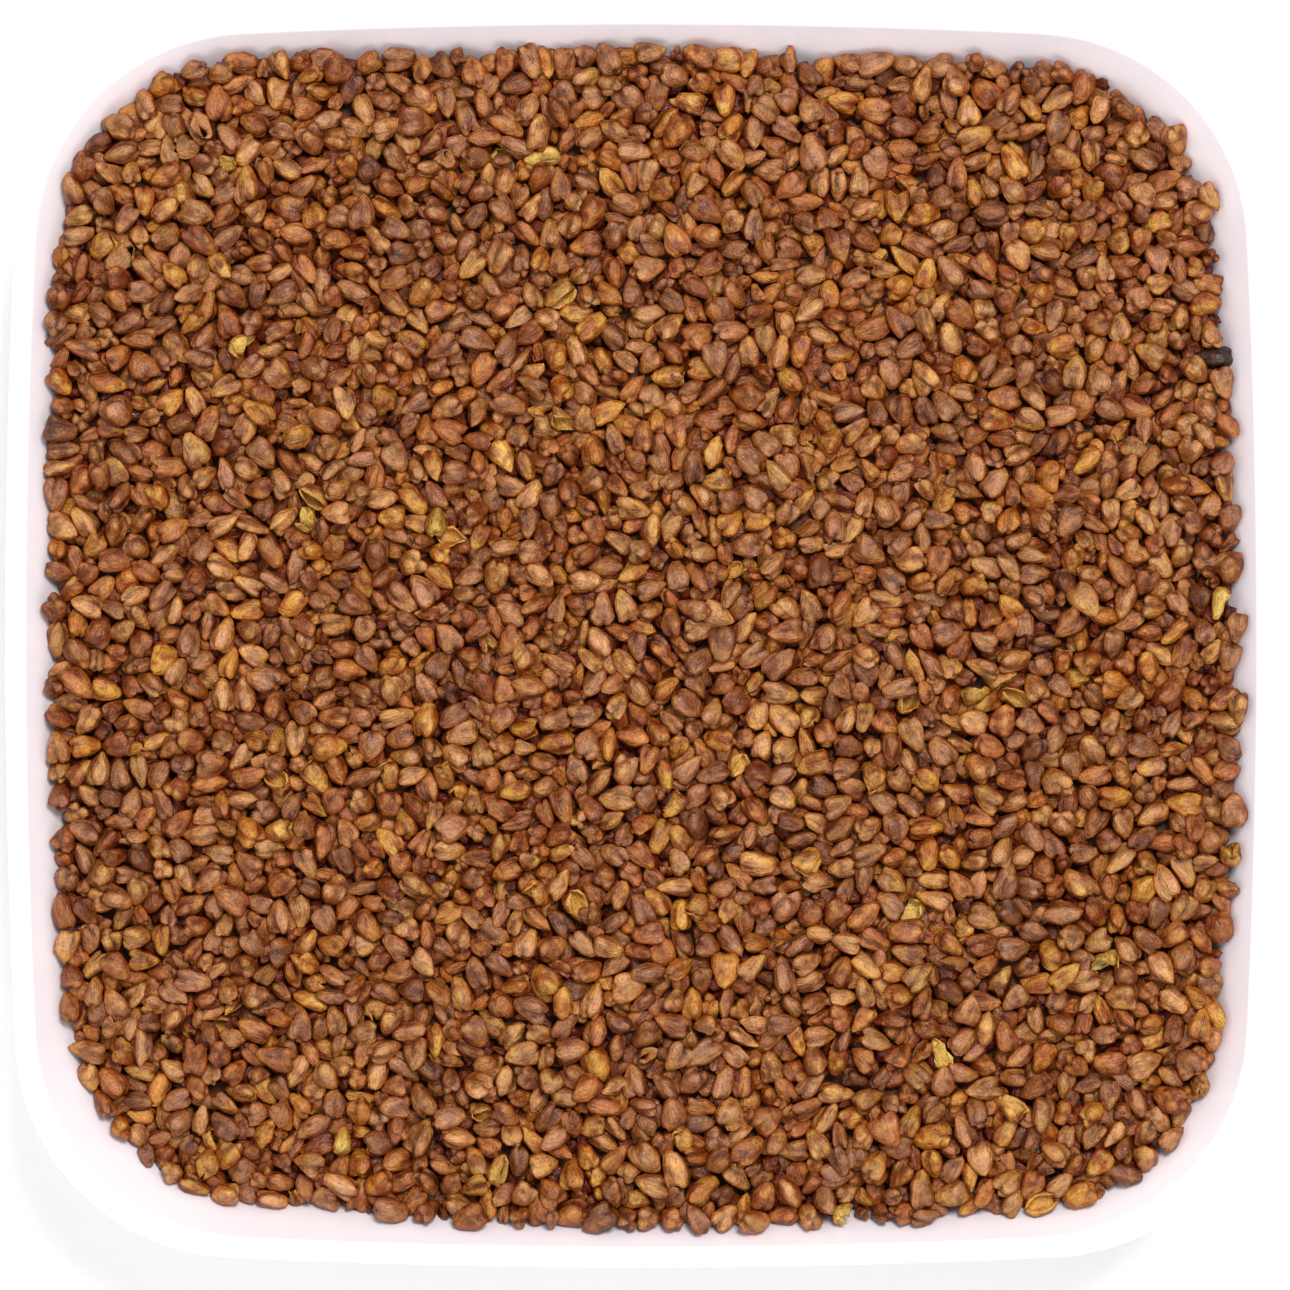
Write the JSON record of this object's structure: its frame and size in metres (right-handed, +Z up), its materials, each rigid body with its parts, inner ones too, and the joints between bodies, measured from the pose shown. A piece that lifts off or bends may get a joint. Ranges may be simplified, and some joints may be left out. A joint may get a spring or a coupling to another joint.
{
  "type": "dish of roasted buckwheat",
  "caption": "Square white porcelain dish with rounded corners and a foot ring, filled nearly to the brim with loose roasted buckwheat kernels.",
  "frame": {"origin": "under the middle of the foot ring, at the level that it stands on", "axes": "+Z up out of the open side of the dish, +X to the right side of the dish, +Y to its far side; the low corner of the buckwheat is the near left one, at -X and -Y"},
  "size_m": [0.15, 0.149, 0.0387],
  "materials": {
    "porcelain": "gloss",
    "buckwheat": "satin"
  },
  "bodies": {
    "root": {"dish": "porcelain", "buckwheat": "buckwheat"}
  },
  "joints": []
}
